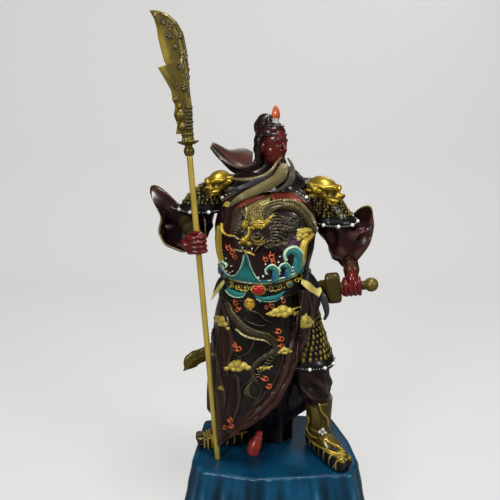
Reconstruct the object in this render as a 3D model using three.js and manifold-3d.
// A painted cast-resin statue of an armoured general standing on a rock plinth.
// One hand grips an upright glaive with a curved blade, the other rests on the hilt of a sheathed sword.
// Millimetres, +Z up. The origin is the centre of the plinth's underside, the viewer looks along +Y,
// and left and right below are the viewer's.
import * as THREE from "three";
import { mergeVertices } from "three/addons/utils/BufferGeometryUtils.js";
import Module from "manifold-3d";

const wasm = await Module();
wasm.setup();

// Driving dimensions.
const PLINTH_HEIGHT = 125;
const PLINTH_TOP_WIDTH = 240;
const PLINTH_TOP_DEPTH = 175;
const PLINTH_FLARE = 24;
const FIGURE_HEIGHT = 500;
const SHAFT_DIAMETER = 8;
const SHAFT_LENGTH = 456;
const SHAFT_LEAN_DEG = 4;
const COLLAR_DIAMETER = 14;
const COLLAR_HEIGHT = 13;
const DISC_DIAMETER = 27;
const DISC_THICKNESS = 4;
const BLADE_LENGTH = 164;
const BLADE_WIDTH = 36;
const BLADE_THICKNESS = 6;
const GRIP_DIAMETER = 13;
const GRIP_LENGTH = 40;
const POMMEL_DIAMETER = 20;
const SWORD_GUARD_HEIGHT = 44;
const SWORD_GUARD_WIDTH = 20;
const SWORD_GUARD_DEPTH = 20;
const SCABBARD_WIDTH = 27;
const SCABBARD_THICKNESS = 12;
const POMPOM_DIAMETER = 11;
const POMPOM_HEIGHT = 25;
const POMPOM_CUP_HEIGHT = 8;
const FIT_GAP = 0.3;

// The figure is free form. Its pose and carving are written in 500ths of its height, sole to crown.
const unit = FIGURE_HEIGHT / 500;
const V = (x, y, z) => new THREE.Vector3(x * unit, y * unit, z * unit);

// Small maths helpers.
const { cos, sin, sign, abs, PI, max, min, hypot, atan2 } = Math;
const rad = (degrees) => (degrees * PI) / 180;
const mix = (a, b, t) => a + (b - a) * t;
const smooth = (a, b, x) => {
  const t = min(1, max(0, (x - a) / (b - a)));
  return t * t * (3 - 2 * t);
};
const bump = (x, centre, width) => Math.exp(-(((x - centre) / width) ** 2));

// Value of a table of [key, ...numbers] rows at key x, with smooth passage between the rows.
function along(table, x) {
  const rising = table[table.length - 1][0] > table[0][0];
  const rows = rising ? table : [...table].reverse();
  const last = rows.length - 1;
  if (x <= rows[0][0]) return rows[0].slice(1);
  if (x >= rows[last][0]) return rows[last].slice(1);
  const i = rows.findIndex((row) => row[0] > x) - 1;
  const t = smooth(rows[i][0], rows[i + 1][0], x);
  const straight = (x - rows[i][0]) / (rows[i + 1][0] - rows[i][0]);
  return rows[i].slice(1).map((value, k) => mix(value, rows[i + 1][k + 1], (t + straight) / 2));
}

// Geometry from rings of equal count, closed round each ring and fanned shut at both ends.
function loft(rings) {
  const sides = rings[0].length;
  const points = rings.flat();
  const faces = [];
  for (let i = 0; i + 1 < rings.length; i++) {
    for (let j = 0; j < sides; j++) {
      const a = i * sides + j;
      const b = i * sides + ((j + 1) % sides);
      faces.push(a, b, a + sides, b, b + sides, a + sides);
    }
  }
  const close = (start, flip) => {
    const centre = new THREE.Vector3();
    for (let j = 0; j < sides; j++) centre.addScaledVector(points[start + j], 1 / sides);
    points.push(centre);
    const c = points.length - 1;
    for (let j = 0; j < sides; j++) {
      const a = start + j;
      const b = start + ((j + 1) % sides);
      faces.push(...(flip ? [c, b, a] : [c, a, b]));
    }
  };
  close(0, true);
  close((rings.length - 1) * sides, false);
  const geometry = new THREE.BufferGeometry().setFromPoints(points);
  geometry.setIndex(faces);
  return geometry;
}

// A tube along stations {at, r: [across, upright]}, with its sections square to the path.
function limb(stations, sides = 12, upright = new THREE.Vector3(0, 0, 1)) {
  const rings = stations.map(({ at, r }, i) => {
    const before = stations[max(0, i - 1)].at;
    const after = stations[min(stations.length - 1, i + 1)].at;
    const way = after.clone().sub(before).normalize();
    const across = new THREE.Vector3().crossVectors(way, upright).normalize();
    const up = new THREE.Vector3().crossVectors(across, way).normalize();
    return Array.from({ length: sides }, (_, j) => {
      const a = (2 * PI * j) / sides;
      return at.clone()
        .addScaledVector(across, r[0] * unit * cos(a))
        .addScaledVector(up, r[1] * unit * sin(a));
    });
  });
  return loft(rings);
}

// A sheet of points, rows by columns, given a wall thickness along its own normals.
function sheet(rows, thickness) {
  const m = rows.length;
  const n = rows[0].length;
  const at = (i, j) => rows[min(m - 1, max(0, i))][min(n - 1, max(0, j))];
  const normal = (i, j) => {
    const du = at(i + 1, j).clone().sub(at(i - 1, j));
    const dv = at(i, j + 1).clone().sub(at(i, j - 1));
    return du.cross(dv).normalize();
  };
  const rings = rows.map((row, i) => {
    const front = row.map((p, j) => p.clone().addScaledVector(normal(i, j), thickness / 2));
    const back = row.map((p, j) => p.clone().addScaledVector(normal(i, j), -thickness / 2));
    return [...front, ...back.reverse()];
  });
  return loft(rings);
}

// A flared cup from rings: the outside, then back up the inside at the wall's thickness.
function flaredCup(rings, wall, depthShare) {
  const firstInner = Math.ceil(rings.length * (1 - depthShare));
  const inner = rings.slice(firstInner).map((ring) => {
    const centre = new THREE.Vector3();
    ring.forEach((p) => centre.addScaledVector(p, 1 / ring.length));
    return ring.map((p) => {
      const inward = centre.clone().sub(p).normalize();
      return p.clone().addScaledVector(inward, wall);
    });
  });
  return loft([...rings, ...inner.reverse()]);
}

function ellipsoid(at, size, detail) {
  const geometry = new THREE.SphereGeometry(1, ...detail);
  geometry.scale(size[0] * unit, size[1] * unit, size[2] * unit);
  geometry.translate(at.x, at.y, at.z);
  return geometry;
}

// Manifold solids from closed geometry, turned outside out where the rings ran the other way.
function solid(geometry) {
  const bare = geometry.clone();
  bare.deleteAttribute("normal");
  bare.deleteAttribute("uv");
  const merged = mergeVertices(bare, 1e-4);
  const triVerts = new Uint32Array(merged.index.array);
  const p = merged.attributes.position;
  let volume = 0;
  const [a, b, c] = [new THREE.Vector3(), new THREE.Vector3(), new THREE.Vector3()];
  const kept = [];
  for (let i = 0; i < triVerts.length; i += 3) {
    const [i0, i1, i2] = triVerts.subarray(i, i + 3);
    if (i0 === i1 || i1 === i2 || i2 === i0) continue;
    kept.push(i0, i1, i2);
    a.fromBufferAttribute(p, i0);
    b.fromBufferAttribute(p, i1);
    c.fromBufferAttribute(p, i2);
    volume += a.dot(b.cross(c));
  }
  if (volume < 0) kept.reverse();
  return new wasm.Manifold(new wasm.Mesh({
    numProp: 3,
    vertProperties: new Float32Array(p.array),
    triVerts: new Uint32Array(kept),
  }));
}

const union = (geometries) => geometries.map(solid).reduce((sum, next) => sum.add(next));

function geometryOf(manifold) {
  const mesh = manifold.getMesh();
  const geometry = new THREE.BufferGeometry();
  geometry.setAttribute("position", new THREE.BufferAttribute(new Float32Array(mesh.vertProperties), 3));
  geometry.setIndex(new THREE.BufferAttribute(new Uint32Array(mesh.triVerts), 1));
  return geometry;
}

// Rounds of the body: a point at angle phi from the front, positive towards the right, at height z.
// They are a little squarer than ellipses.
const ROUNDNESS = 0.9;
function roundPoint(table, phi, z, out = 0) {
  const [cx, cy, rx, ry] = along(table, z);
  const s = sign(sin(phi)) * abs(sin(phi)) ** ROUNDNESS;
  const c = sign(cos(phi)) * abs(cos(phi)) ** ROUNDNESS;
  return V(cx + (rx + out) * s, cy - (ry + out) * c, z);
}

// Plinth: a flat-topped rock with slanting faceted sides.
const PLINTH_OUTLINE = [
  [-0.44, -0.43], [-0.12, -0.53], [0.44, -0.47], [0.51, -0.3], [0.49, 0.04],
  [0.42, 0.44], [0.05, 0.5], [-0.48, 0.38], [-0.52, -0.28],
];

function plinthGeometry() {
  const corner = (share, flare) => {
    const length = hypot(...share);
    return [
      share[0] * PLINTH_TOP_WIDTH + (share[0] / length) * flare,
      share[1] * PLINTH_TOP_DEPTH + (share[1] / length) * flare,
    ];
  };
  const levels = [[0, 1], [0.3, 0.78], [0.7, 0.34], [0.97, 0.04], [1, 0]];
  const rings = levels.map(([height, spread], level) => PLINTH_OUTLINE.flatMap((share, i) => {
    const next = PLINTH_OUTLINE[(i + 1) % PLINTH_OUTLINE.length];
    const between = [mix(share[0], next[0], 0.45), mix(share[1], next[1], 0.45)];
    const dent = level === 0 || level === levels.length - 1 ? 0 : 0.18 * sin(2.3 * i + level);
    const [ax, ay] = corner(share, PLINTH_FLARE * spread);
    const [bx, by] = corner(between, PLINTH_FLARE * (spread + dent * spread));
    return [
      new THREE.Vector3(ax, ay, height * PLINTH_HEIGHT),
      new THREE.Vector3(bx, by, height * PLINTH_HEIGHT),
    ];
  }));
  return loft(rings);
}

// Rounds stacked over one another: each row gives the height, centre x and y, half width and half depth.
function rounds(table, sides, fold = () => 0) {
  return loft(table.map(([z]) => Array.from({ length: sides }, (_, j) => {
    const phi = (2 * PI * j) / sides;
    return roundPoint(table, phi, z, fold(phi, z));
  })));
}

const TORSO = [
  [232, -18, -8, 61, 52], [262, -17, -9, 62, 56], [290, -18, -12, 64, 58], [318, -17, -13, 69, 58],
  [346, -16, -11, 71, 54], [372, -15, -8, 67, 47], [392, -14, -4, 60, 40], [408, -14, 0, 50, 33],
  [420, -13, 0, 38, 27], [430, -11, -6, 23, 22], [446, -10, -12, 17, 18],
];
const torsoGeometry = () => rounds(TORSO, 16);

// The belt line is tilted: higher on the right and at the front.
const BELT_TILT = [0.13, -0.03];
const BELT_LEVEL = 263;
const beltHeight = (x, y) => BELT_LEVEL + BELT_TILT[0] * (x + 15) + BELT_TILT[1] * y;

// A band round the torso that follows the belt line.
function beltBand(low, high, out) {
  const sides = 18;
  const ring = (lift, swell) => Array.from({ length: sides }, (_, j) => {
    const p = roundPoint(TORSO, (2 * PI * j) / sides, BELT_LEVEL, swell);
    p.z = (beltHeight(p.x / unit, p.y / unit) + lift) * unit;
    return p;
  });
  return loft([
    ring(low, out - 2), ring(mix(low, high, 0.2), out), ring(mix(low, high, 0.8), out), ring(high, out - 2),
  ]);
}

// Robe rounds, and the height of its hem round the figure, in degrees from the front.
const ROBE = [
  [0, -28, 0, 64, 58], [60, -26, -6, 68, 64], [110, -24, -8, 71, 70], [160, -22, -9, 70, 68],
  [210, -21, -9, 68, 62], [258, -18, -9, 62, 56],
];
const ROBE_HEM = [
  [-180, 20], [-150, 40], [-125, 58], [-104, 74], [-84, 66], [-66, 40], [-50, 24], [-34, 44], [-18, 64],
  [0, 84], [14, 104], [26, 132], [38, 160], [48, 190], [58, 218], [76, 228], [94, 214], [108, 150],
  [128, 70], [150, 30], [180, 20],
];
const ROBE_TOP = 256;

// Folds hang from the belt and deepen on the way down. The front panel stays nearly flat.
function robeFold(phi, z) {
  const depth = 1 - smooth(60, ROBE_TOP, z);
  const flat = 0.8 * bump(phi, rad(5), rad(42));
  return depth * (1 - flat) * (5.2 * cos(9 * phi + 0.6) + 2.6 * cos(14 * phi + z / 60));
}

const robePoint = (phi, z) => roundPoint(ROBE, phi, z, robeFold(phi, z));

function robeGeometry() {
  const sides = 36;
  const levels = [0, 0.22, 0.55, 1];
  return loft(levels.map((t) => Array.from({ length: sides }, (_, j) => {
    const phi = -PI + (2 * PI * j) / sides;
    const [hem] = along(ROBE_HEM, (phi * 180) / PI);
    return robePoint(phi, mix(ROBE_TOP, hem, t));
  })));
}

// The turned-out edge that runs down the right side of the front panel to its point.
function robeEdge() {
  const stations = [];
  for (let degrees = 58; degrees >= -50; degrees -= 15) {
    const [hem] = along(ROBE_HEM, degrees);
    const wide = 3.2 + 2.4 * sin((PI * (58 - degrees)) / 110);
    stations.push({ at: robePoint(rad(degrees), hem + 2), r: [wide, wide * 1.3] });
  }
  return limb(stations, 6, new THREE.Vector3(0, -1, 0));
}

// The under robe that falls behind the legs down to the plinth, and its skirt beside the right leg.
const UNDER_ROBE = [
  [0, -24, 20, 50, 24], [20, -24, 19, 51, 26], [60, -22, 11, 53, 32], [120, -18, 0, 52, 42],
];
const underRobe = () => rounds(UNDER_ROBE, 14, (phi, z) => (1 - z / 190) * 4 * cos(8 * phi + 1));

const INNER_SKIRT = [
  { at: V(46, 3, 122), r: [29, 27] }, { at: V(40, 4, 100), r: [29, 27] }, { at: V(26, 8, 74), r: [28, 24] },
  { at: V(6, 14, 50), r: [23, 20] }, { at: V(-12, 20, 30), r: [20, 16] },
];
const innerSkirt = () => limb(INNER_SKIRT, 10, new THREE.Vector3(0, 1, 0));

// The trouser leg on the right with its gathered knee, and the armour skirt over it with a rolled border.
const THIGH = [
  [240, 14, -8, 40, 40], [215, 22, -11, 37, 38], [180, 34, -15, 34, 35], [152, 45, -18, 32, 32],
  [128, 50, -22, 28, 29], [104, 57, -24, 24, 25], [88, 61, -25, 20, 21],
];
const kneeFold = (phi, z) => 2.2 * bump(z, 110, 24) * cos(6 * phi + z / 12);
const rightLeg = () => rounds(THIGH.filter(([z]) => z < 170), 14, kneeFold);

const ARMOUR_SKIRT = [[236, 1], [214, 2.5], [180, 4], [158, 5], [156, 7.5], [146, 8]];
const armourSkirt = () => loft(ARMOUR_SKIRT.map(([z, out]) => (
  Array.from({ length: 16 }, (_, j) => roundPoint(THIGH, (PI * j) / 8, z, out)))));

// Boots: the shaft, and a foot lofted from heel to toe with a flat sole.
function bootShaft(ankle, top, ankleRadius, topRadius) {
  const middle = ankle.clone().lerp(top, 0.45);
  const radius = mix(ankleRadius, topRadius, 0.3);
  return limb([
    { at: ankle, r: [ankleRadius, ankleRadius * 1.1] }, { at: middle, r: [radius, radius * 1.05] },
    { at: top, r: [topRadius, topRadius] },
  ], 10, new THREE.Vector3(0, 1, 0));
}

// Sections of the foot: share from heel to toe, half width, height. Their outline is in shares of these.
const FOOT = [
  [0, 11, 30], [0.08, 15, 40], [0.3, 16, 42], [0.5, 16.5, 33], [0.7, 17, 24], [0.86, 16, 20],
  [0.96, 13, 21], [1, 8, 17],
];
const FOOT_OUTLINE = [
  [-1, 0], [1, 0], [1.02, 0.25], [0.9, 0.6], [0.5, 0.94], [-0.5, 0.94], [-0.9, 0.6], [-1.02, 0.25],
];

function foot(heel, toe) {
  const way = toe.clone().sub(heel);
  const across = new THREE.Vector3(way.y, -way.x, 0).normalize();
  const ring = ([share, half, height]) => {
    const at = heel.clone().addScaledVector(way, share);
    return FOOT_OUTLINE.map(([side, up]) => at.clone()
      .addScaledVector(across, side * half * unit)
      .add(new THREE.Vector3(0, 0, up * height * unit)));
  };
  return loft(FOOT.map(ring));
}

// Two rolled cloud scrolls on the tip of each boot.
function toeScrolls(heel, toe) {
  const way = toe.clone().sub(heel).normalize();
  const across = new THREE.Vector3(way.y, -way.x, 0);
  return [-1, 1].map((side) => {
    const at = toe.clone().addScaledVector(across, side * 5.5 * unit).addScaledVector(way, -2 * unit);
    at.z = 13 * unit;
    return ellipsoid(at, [6, 6, 10], [6, 4]);
  });
}

// Where the two hands close round the shaft and the grip, on the figure.
const SHAFT_GRIP = V(-108.7, -42, 326);
const SWORD_GRIP = V(107, -22, 260);

const shaftWay = new THREE.Vector3(-sin(rad(SHAFT_LEAN_DEG)), 0, cos(rad(SHAFT_LEAN_DEG)));
const swordWay = new THREE.Vector3(1, -0.18, 0.15).normalize();

// A fist closed round an axis: four fingers ridge its front, and a thumb lies across the top.
function fist(centre, axis, outward, size) {
  const z = axis.clone().normalize();
  const y = outward.clone().addScaledVector(z, -outward.dot(z)).normalize();
  const x = new THREE.Vector3().crossVectors(y, z);
  const frame = new THREE.Matrix4().makeBasis(x, y, z).setPosition(centre);
  const sides = 8;
  const rings = Array.from({ length: 9 }, (_, k) => {
    const end = k === 0 || k === 8 ? 0.8 : 1;
    const ridge = k % 2 === 1 ? 1 : 0.86;
    return Array.from({ length: sides }, (_, j) => {
      const a = (2 * PI * j) / sides + PI / 2;
      const front = smooth(-0.2, 0.6, sin(a));
      const r = size * unit * end * mix(0.88, ridge, front);
      const up = mix(-1, 1, k / 8) * size * 0.98 * unit;
      return new THREE.Vector3(r * cos(a), r * sin(a) * 0.84 - size * 0.05 * unit, up);
    });
  });
  const thumb = new THREE.CylinderGeometry(size * 0.2 * unit, size * 0.27 * unit, size * 1.2 * unit, 6);
  thumb.rotateZ(PI / 2 - 0.5);
  thumb.translate(size * 0.4 * unit, size * 0.3 * unit, size * 0.98 * unit);
  return [loft(rings), thumb].map((geometry) => geometry.applyMatrix4(frame));
}

// Scale-clad upper arms: bells that hang from the shoulders and end in a beaded border.
const LEFT_BELL = [
  [364, -107, -1, 33, 28], [373, -106, -1, 32, 27], [375, -105, -1, 29, 25],
  [386, -97, 0, 28, 24], [398, -87, 1, 24, 22], [409, -76, 2, 18, 18], [416, -66, 2, 11, 12],
];
const RIGHT_BELL = [
  [344, 83, 0, 31, 30], [353, 82, 0, 31, 30], [355, 81, 0, 28, 27],
  [372, 69, 0, 27, 26], [388, 59, 1, 25, 24], [402, 48, 2, 20, 20], [411, 38, 2, 12, 13],
];

// A sleeve ring: an ellipse about a centre, spanned by two half axes, with a lip that reaches further out.
function sleeveRing([centre, half1, half2], lipAngle, lipSpread, lipReach, sides) {
  return Array.from({ length: sides }, (_, j) => {
    const a = (2 * PI * j) / sides;
    const reach = 1 + lipReach * bump(a, rad(lipAngle), rad(lipSpread));
    return V(...centre)
      .addScaledVector(V(...half1), cos(a) * reach)
      .addScaledVector(V(...half2), sin(a) * reach);
  });
}

// The sleeves turn and flare below the bells. The left one opens to the front, the right one to the right.
const LEFT_SLEEVE = [
  [[-108, 0, 374], [22, 0, -6], [0, -20, 0]], [[-117, 6, 353], [25, 0, -4], [-2, -17, 14]],
  [[-126, 5, 343], [29, 0, 0], [-2, -6, 25]], [[-131, -4, 341], [32, 0, 0], [0, 4, 30]],
  [[-132, -12, 342], [34, 0, 0], [0, 12, 32]],
];
const RIGHT_SLEEVE = [
  [[84, 0, 354], [24, 0, 2], [0, -24, 0]], [[90, 0, 338], [26, 0, 6], [4, -24, -2]],
  [[100, 1, 328], [24, 2, 22], [8, -24, -4]], [[107, 2, 326], [21, 3, 33], [12, -24, -6]],
  [[112, 2, 326], [18, 4, 40], [16, -24, -6]],
];
const LEFT_LIP = { angle: 127, spread: 15, reach: [0, 0, 0.25, 0.75, 1.22] };
const RIGHT_LIP = { angle: 0, spread: 26, reach: [0, 0, 0, 0.05, 0.12] };
const SLEEVE_WALL = 3;
function sleeve(shapes, lip, sides) {
  const rings = shapes.map((shape, i) => sleeveRing(shape, lip.angle, lip.spread, lip.reach[i], sides));
  return flaredCup(rings, SLEEVE_WALL * unit, 0.6);
}

const leftForearm = () => limb([
  { at: V(-126, 6, 350), r: [14, 14] }, { at: V(-117, -18, 336), r: [12, 12] },
  { at: V(-109, -34, 328), r: [10, 11] },
], 10);
const rightForearm = () => limb([
  { at: V(98, 2, 322), r: [17, 17] }, { at: V(104, -6, 298), r: [13, 13] },
  { at: V(106, -12, 286), r: [12, 12] }, { at: V(106, -17, 270), r: [11, 12] },
], 10, new THREE.Vector3(0, 1, 0));

// Lion masks on the shoulders: skull, snout and brows, looking out and down.
function lionMask(at, [wide, deep, tall], [down, aside]) {
  const lump = (offset, radii, detail = [5, 4]) => {
    const geometry = new THREE.SphereGeometry(1, ...detail);
    geometry.scale(...radii);
    geometry.translate(...offset);
    geometry.scale(wide * unit, deep * unit, tall * unit);
    geometry.rotateX(rad(down));
    geometry.rotateZ(rad(aside));
    geometry.translate(at.x, at.y, at.z);
    return geometry;
  };
  const pair = ([x, y, z], radii) => [-1, 1].map((side) => lump([side * x, y, z], radii));
  return [
    lump([0, 0, 0], [1, 0.85, 0.9], [9, 6]),
    lump([0, -0.85, -0.12], [0.4, 0.4, 0.3]),
    ...pair([0.42, -0.64, 0.34], [0.36, 0.24, 0.2]),
  ];
}

// The head, turned to the right, in its own frame: x across the face, -y forward.
const HEAD = V(-10, -24, 457);
const HEAD_TURN = rad(38);
function headPiece(geometry) {
  geometry.scale(unit, unit, unit);
  geometry.rotateZ(HEAD_TURN);
  geometry.translate(HEAD.x, HEAD.y, HEAD.z);
  return geometry;
}
const headLump = (at, radii, detail = [6, 5]) => {
  const geometry = new THREE.SphereGeometry(1, ...detail);
  geometry.scale(...radii);
  geometry.translate(...at);
  return headPiece(geometry);
};

function head() {
  const nose = new THREE.ConeGeometry(3.4, 13, 5);
  nose.rotateX(rad(-14));
  nose.translate(0, -27, -4);
  return [
    headLump([0, -2, 2], [17.5, 24, 25], [10, 7]),
    headLump([0, -7, -15], [13.5, 16, 14], [7, 5]),
    headPiece(nose),
    headLump([0, -22.5, 4], [12, 4.5, 3]),
    headLump([0, -20.5, -16], [8, 4.5, 4]),
    ...[-1, 1].map((side) => headLump([side * 9, -18, -6], [5.5, 5, 5])),
  ];
}

// Cap: a close band above the brow, a soft crown that leans back, and a drape down the neck.
const CAP_BAND = [[0, 8], [18.5, 8], [20, 11], [20, 16], [18, 20], [0, 20]];
function cap() {
  const band = turnedSolid(CAP_BAND, 12);
  band.scale(1, 1.16, 1);
  band.rotateX(rad(8));
  return [
    headPiece(band),
    headLump([0, 1, 18], [18, 21, 14], [10, 6]),
    headLump([0, 11, 25], [13.5, 15, 14], [8, 6]),
    headLump([0, 13, -2], [17, 12.5, 32], [8, 6]),
  ];
}

// Strands of the beard, swept down and to the left across the chest.
const BEARD = [
  [
    [8, -47, 433, 6.5], [3, -50, 419, 8], [-14, -52, 404, 8], [-44, -55, 389, 6.5], [-60, -54, 378, 4.5],
    [-71, -50, 366, 1.2],
  ],
  [[-4, -44, 437, 3], [-14, -44, 424, 4], [-26, -42, 416, 4], [-46, -36, 413, 3], [-66, -28, 412, 1]],
  [[0, -43, 430, 5], [-16, -46, 412, 5.5], [-36, -47, 402, 5], [-56, -43, 396, 4], [-76, -34, 392, 1]],
  [[12, -44, 430, 4], [16, -45, 417, 4.5], [11, -48, 406, 3.5], [-2, -52, 397, 1]],
];
const beard = () => BEARD.map((lock) => {
  const stations = lock.map(([x, y, z, wide]) => ({ at: V(x, y, z), r: [wide, wide * 0.6] }));
  return limb(stations, 6, new THREE.Vector3(0, -1, 0));
});

// The wind-blown neck cloth of the cap, a trough that flies to the left and closes to a tip.
function neckCloth() {
  const rows = [];
  for (let i = 0; i <= 6; i++) {
    const t = i / 6;
    const near = [mix(-36, -92, t), mix(-14, 12, t), 430 - 5 * sin(PI * t) + 25 * t ** 2.4];
    const low = [mix(-36, -93, t), mix(4, 14, t), 412 + 40 * t ** 1.7];
    const far = [mix(-34, -91, t), mix(20, 18, t), 445 + 11 * t + 3 * sin(8 * t)];
    rows.push(Array.from({ length: 6 }, (_, j) => {
      const s = j / 5;
      const [n, m, f] = [(1 - s) ** 2, 2 * s * (1 - s), s ** 2];
      const bend = (k) => 2 * low[k] - (near[k] + far[k]) / 2;
      return V(...near.map((value, k) => n * value + m * bend(k) + f * far[k]));
    }));
  }
  return sheet(rows, 3.2 * unit);
}

// The beaded band that arches over the chest, behind the beard.
const CHEST_BAND = { height: 404, drop: 17, spread: 58, end: 72, step: 18, half: [5.5, 3.4] };
function chestBand() {
  const { height, drop, spread, end, step, half } = CHEST_BAND;
  const stations = [];
  for (let degrees = -end; degrees <= end; degrees += step) {
    const z = height - drop * (degrees / spread) ** 2;
    stations.push({ at: roundPoint(TORSO, rad(degrees), z, 0.5), r: half });
  }
  return limb(stations, 6, new THREE.Vector3(0, -1, 0));
}

// Carving on the belly: a dragon mask with horns, brows, cheeks and snout, and its body curling to the right.
const onTorso = (degrees, z, out = 0) => roundPoint(TORSO, rad(degrees), z, out);

function carvedStrand(points, widths) {
  const stations = points.map(([degrees, z], i) => (
    { at: onTorso(degrees, z, 0.5), r: [widths[i], widths[i] * 0.8] }));
  return limb(stations, 6, new THREE.Vector3(0, -1, 0.01));
}

const MASK = [-20, 345];
function dragonMask() {
  const [mid, level] = MASK;
  const lump = (degrees, z, out, radii) => (
    ellipsoid(onTorso(mid + degrees, level + z, out), radii, [6, 4]));
  const parts = [
    ellipsoid(onTorso(mid, level + 6, -7), [20, 15, 22], [8, 6]),
    lump(-1, -6, 7, [8, 8, 9]), lump(-1, -15, 8, [9, 7, 6]), lump(-2, -26, 3, [10, 8, 5]),
  ];
  for (const side of [-1, 1]) {
    parts.push(lump(side * 12, 12, 5, [10, 5, 4]));
    parts.push(lump(side * 14, -12, 3, [6, 5, 6]));
    const horn = [[6, 16], [12, 34], [18, 46]].map(([degrees, z]) => [mid + side * degrees, level + z]);
    parts.push(carvedStrand(horn, [3.6, 2.8, 0.8]));
  }
  return parts;
}

const bodyCoil = () => carvedStrand([
  [8, 352], [24, 362], [44, 360], [60, 346], [68, 326], [70, 312],
], [5, 6.5, 7, 7, 5.5, 2.5]);

// Sash ends that flare from the belt on both sides, and the red sash end that rests on the plinth.
function sashFlap(start, knee, end) {
  const stations = [{ at: start, r: [2.5, 7] }, { at: knee, r: [2.5, 9] }, { at: end, r: [2.5, 6] }];
  return limb(stations, 8, new THREE.Vector3(0, -1, 0.2));
}
const sashEnd = () => limb([
  { at: V(-29, -24, 0), r: [11, 10] }, { at: V(-28, -24, 8), r: [11.5, 10] },
  { at: V(-22, -21, 22), r: [9, 8] }, { at: V(-17, -16, 36), r: [5, 5] },
], 8, new THREE.Vector3(0, 1, 0));

// The glaive, in a frame whose +Z runs up the shaft from its foot.
function shaftFoot() {
  const toGrip = SHAFT_GRIP.z / shaftWay.z;
  return SHAFT_GRIP.clone().addScaledVector(shaftWay, -toGrip);
}
const footLift = (SHAFT_DIAMETER / 2) * sin(rad(SHAFT_LEAN_DEG)) + FIT_GAP;

function turnedSolid(profile, sides = 16) {
  const geometry = new THREE.LatheGeometry(profile.map(([r, z]) => new THREE.Vector2(r, z)), sides);
  geometry.rotateX(PI / 2);
  return geometry;
}

const shaftGeometry = () => turnedSolid([
  [0, 0], [SHAFT_DIAMETER / 2, 0], [SHAFT_DIAMETER / 2, SHAFT_LENGTH], [0, SHAFT_LENGTH],
]);

// The blade's outline, in shares of its width and length: the back on the right, the edge on the left.
const BLADE_BACK = [
  [0.2, 0], [0.25, 0.2], [0.22, 0.36], [0.25, 0.53], [0.24, 0.69], [0.18, 0.82], [0, 0.91],
  [-0.3, 0.98], [-0.64, 1.01], [-0.92, 1.02],
];
const BLADE_EDGE = [
  [-0.78, 0.95], [-0.72, 0.87], [-0.71, 0.79], [-0.57, 0.6], [-0.44, 0.55], [-0.84, 0.57],
  [-0.64, 0.47], [-0.44, 0.37], [-0.42, 0.29], [-0.35, 0.24], [-0.43, 0.16], [-0.33, 0.08], [-0.42, 0],
];

function glaiveHead() {
  const outline = new THREE.Shape();
  const start = COLLAR_HEIGHT + DISC_THICKNESS * 0.7;
  const place = ([x, z]) => new THREE.Vector2(x * BLADE_WIDTH, start + z * (BLADE_LENGTH - start));
  const [first, ...rest] = [...BLADE_BACK, ...BLADE_EDGE].map(place);
  outline.moveTo(first.x, first.y);
  rest.forEach((p) => outline.lineTo(p.x, p.y));
  outline.closePath();
  const bevel = BLADE_THICKNESS * 0.3;
  const blade = new THREE.ExtrudeGeometry(outline, {
    depth: BLADE_THICKNESS - 2 * bevel, bevelSegments: 1,
    bevelThickness: bevel, bevelSize: bevel * 0.8, bevelOffset: -bevel * 0.8,
  });
  blade.translate(0, 0, -BLADE_THICKNESS / 2 + bevel);
  blade.rotateX(PI / 2);
  const foot = SHAFT_DIAMETER / 2 + 1.3;
  const top = COLLAR_HEIGHT + DISC_THICKNESS;
  const collar = turnedSolid([
    [0, FIT_GAP], [foot, FIT_GAP], [COLLAR_DIAMETER / 2, COLLAR_HEIGHT * 0.45],
    [COLLAR_DIAMETER * 0.38, COLLAR_HEIGHT], [DISC_DIAMETER / 2, COLLAR_HEIGHT],
    [DISC_DIAMETER / 2, top], [0, top],
  ]);
  return geometryOf(union([blade, collar]));
}

// The sheathed sword: pommel, grip and guard in line, then a scabbard that curves down behind the robe.
// With a growth of more than zero the same forms give the bed that the figure leaves for it.
const SCABBARD_ROUTE = [
  [62, 4, 246], [42, 46, 234], [-18, 66, 194], [-74, 68, 146],
  [-112, 63, 121], [-130, 59, 113], [-146, 56, 94],
];
const SCABBARD_STEPS = 12;

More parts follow.
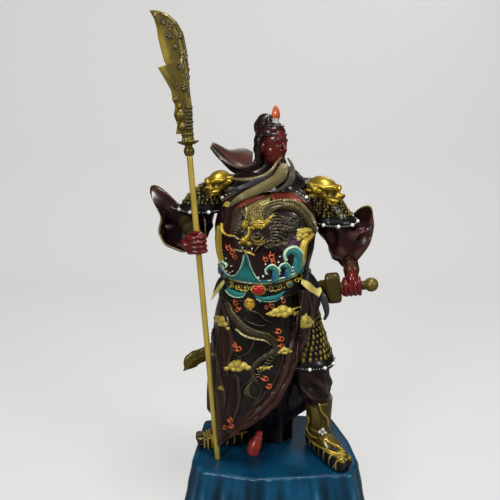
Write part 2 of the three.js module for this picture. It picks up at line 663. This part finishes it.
function swordForms(growth) {
  const at = (distance) => SWORD_GRIP.clone().addScaledVector(swordWay, distance);
  const gripLength = GRIP_LENGTH + 4;
  const gripRadius = GRIP_DIAMETER / 2 + growth;
  const grip = new THREE.CylinderGeometry(gripRadius, gripRadius, gripLength, 12);
  grip.applyQuaternion(new THREE.Quaternion().setFromUnitVectors(new THREE.Vector3(0, 1, 0), swordWay));
  const gripAt = at(GRIP_LENGTH / 2 - gripLength / 2);
  grip.translate(gripAt.x, gripAt.y, gripAt.z);
  const pommel = new THREE.SphereGeometry(POMMEL_DIAMETER / 2 + growth, 10, 7);
  const pommelAt = at(GRIP_LENGTH * 0.5 + POMMEL_DIAMETER * 0.3);
  pommel.translate(pommelAt.x, pommelAt.y, pommelAt.z);
  const guard = new THREE.CylinderGeometry(1, 1, SWORD_GUARD_HEIGHT + 2 * growth, 8);
  guard.rotateY(PI / 8);
  guard.scale(SWORD_GUARD_WIDTH * 0.54 + growth, 1, SWORD_GUARD_DEPTH * 0.54 + growth);
  guard.rotateX(PI / 2);
  guard.rotateY(rad(-9));
  guard.rotateZ(atan2(swordWay.y, swordWay.x));
  const guardAt = at(-GRIP_LENGTH * 0.5 - SWORD_GUARD_WIDTH * 0.3);
  guard.translate(guardAt.x, guardAt.y, guardAt.z - SWORD_GUARD_HEIGHT * 0.05);
  const route = new THREE.CatmullRomCurve3([at(-GRIP_LENGTH * 0.5), ...SCABBARD_ROUTE.map((p) => V(...p))]);
  const stations = Array.from({ length: SCABBARD_STEPS + 1 }, (_, i) => {
    const t = i / SCABBARD_STEPS;
    const waist = (1 - 0.25 * smooth(0.4, 0.7, t)) * (1 + 0.3 * bump(t, 0.9, 0.08));
    const taper = waist * (1 - 0.9 * smooth(0.9, 1, t));
    const across = (SCABBARD_THICKNESS / 2) * taper + growth;
    const upright = (SCABBARD_WIDTH / 2) * taper + growth;
    return { at: route.getPoint(t), r: [across / unit, upright / unit] };
  });
  return [grip, pommel, guard, limb(stations, 8)];
}

const swordGeometry = () => geometryOf(union(swordForms(0)));

// The pompom stands in a socket at the front of the cap.
const POMPOM_FOOT = V(-4.6, -31, 482);
function pompomGeometry() {
  const r = POMPOM_DIAMETER / 2;
  const beadLevel = (share) => mix(POMPOM_CUP_HEIGHT, POMPOM_HEIGHT, share);
  const geometry = turnedSolid([
    [0, 0], [r * 0.95, 0], [r, POMPOM_CUP_HEIGHT], [r * 1.05, POMPOM_CUP_HEIGHT + 1],
    [r * 0.98, beadLevel(0.35)], [r * 0.62, beadLevel(0.74)], [r * 0.22, beadLevel(0.95)], [0, POMPOM_HEIGHT],
  ], 8);
  geometry.translate(POMPOM_FOOT.x, POMPOM_FOOT.y, POMPOM_FOOT.z);
  return geometry;
}

// What the figure leaves free: the ground under its soles, the shaft's bore and the pompom's socket.
function clearances() {
  const ground = new THREE.BoxGeometry(FIGURE_HEIGHT, FIGURE_HEIGHT, 20);
  ground.translate(0, 0, -10);
  const boreRadius = SHAFT_DIAMETER / 2 + FIT_GAP;
  const shaftBore = new THREE.CylinderGeometry(boreRadius, boreRadius, SHAFT_LENGTH, 16);
  shaftBore.rotateX(PI / 2);
  shaftBore.translate(0, 0, SHAFT_LENGTH / 2);
  shaftBore.rotateY(rad(-SHAFT_LEAN_DEG));
  const foot = shaftFoot();
  shaftBore.translate(foot.x, foot.y, foot.z);
  const socketRadius = POMPOM_DIAMETER / 2 + FIT_GAP;
  const socket = new THREE.CylinderGeometry(socketRadius, socketRadius, POMPOM_HEIGHT * 2, 12);
  socket.rotateX(PI / 2);
  socket.translate(POMPOM_FOOT.x, POMPOM_FOOT.y, POMPOM_FOOT.z + POMPOM_HEIGHT - FIT_GAP);
  return [ground, shaftBore, socket];
}

const LEFT_FOOT = [V(-38, 10, 0), V(-116, -12, 0)];
const RIGHT_FOOT = [V(56, 2, 0), V(98, -74, 0)];

function figureGeometry() {
  const body = union([
    torsoGeometry(), robeGeometry(), underRobe(), rightLeg(), innerSkirt(), armourSkirt(), robeEdge(),
    beltBand(-10, 10, 4),
    bootShaft(V(67, -20, 22), V(63, -26, 92), 15, 21), foot(...RIGHT_FOOT), ...toeScrolls(...RIGHT_FOOT),
    bootShaft(V(-64, 4, 22), V(-60, 3, 62), 15, 18), foot(...LEFT_FOOT), ...toeScrolls(...LEFT_FOOT),
    rounds(LEFT_BELL, 12), rounds(RIGHT_BELL, 12),
    sleeve(LEFT_SLEEVE, LEFT_LIP, 20), sleeve(RIGHT_SLEEVE, RIGHT_LIP, 16),
    leftForearm(), rightForearm(),
    ...fist(SHAFT_GRIP, shaftWay, new THREE.Vector3(0, -1, 0), 13.5),
    ...fist(SWORD_GRIP, swordWay, new THREE.Vector3(0, -1, -0.5), 13),
    ...lionMask(V(-83, -12, 404), [18, 18, 16], [20, -36]),
    ...lionMask(V(64, -12, 392), [24, 20, 18], [20, 42]),
    ...head(), ...cap(), ...beard(), neckCloth(), chestBand(),
    ...dragonMask(), bodyCoil(),
    ellipsoid(onTorso(-8, 268, 4), [10, 5, 8], [10, 8]),
    sashFlap(V(-62, -24, 262), V(-78, -30, 252), V(-94, -26, 238)),
    sashFlap(V(36, -38, 270), V(50, -42, 254), V(64, -34, 248)),
    sashEnd(),
  ]);
  return geometryOf(body.subtract(union([...clearances(), ...swordForms(FIT_GAP)])));
}

const paint = (color, roughness, metalness) => (
  new THREE.MeshStandardMaterial({ color, roughness, metalness }));
const MATERIALS = {
  plinth: paint(0x0f5a78, 0.45, 0),
  figure: paint(0x35201c, 0.35, 0.2),
  brass: paint(0xb8982f, 0.35, 0.6),
  bronze: paint(0x7a6422, 0.4, 0.5),
  pompom: paint(0xe0441c, 0.2, 0),
};

const statue = new THREE.Group();
function place(name, geometry, material, parent = statue) {
  const mesh = new THREE.Mesh(geometry, material);
  mesh.name = name;
  parent.add(mesh);
  return mesh;
}

place("plinth", plinthGeometry(), MATERIALS.plinth);

const standing = new THREE.Group();
standing.position.z = PLINTH_HEIGHT;
statue.add(standing);
place("figure", figureGeometry(), MATERIALS.figure, standing);
place("sheathed_sword", swordGeometry(), MATERIALS.bronze, standing);
place("cap_pompom", pompomGeometry(), MATERIALS.pompom, standing);

const glaive = new THREE.Group();
glaive.position.copy(shaftFoot()).addScaledVector(shaftWay, footLift);
glaive.rotation.y = rad(-SHAFT_LEAN_DEG);
standing.add(glaive);
place("glaive_shaft", shaftGeometry(), MATERIALS.brass, glaive);
const blade = place("glaive_head", glaiveHead(), MATERIALS.brass, glaive);
blade.position.z = SHAFT_LENGTH;

export default statue;
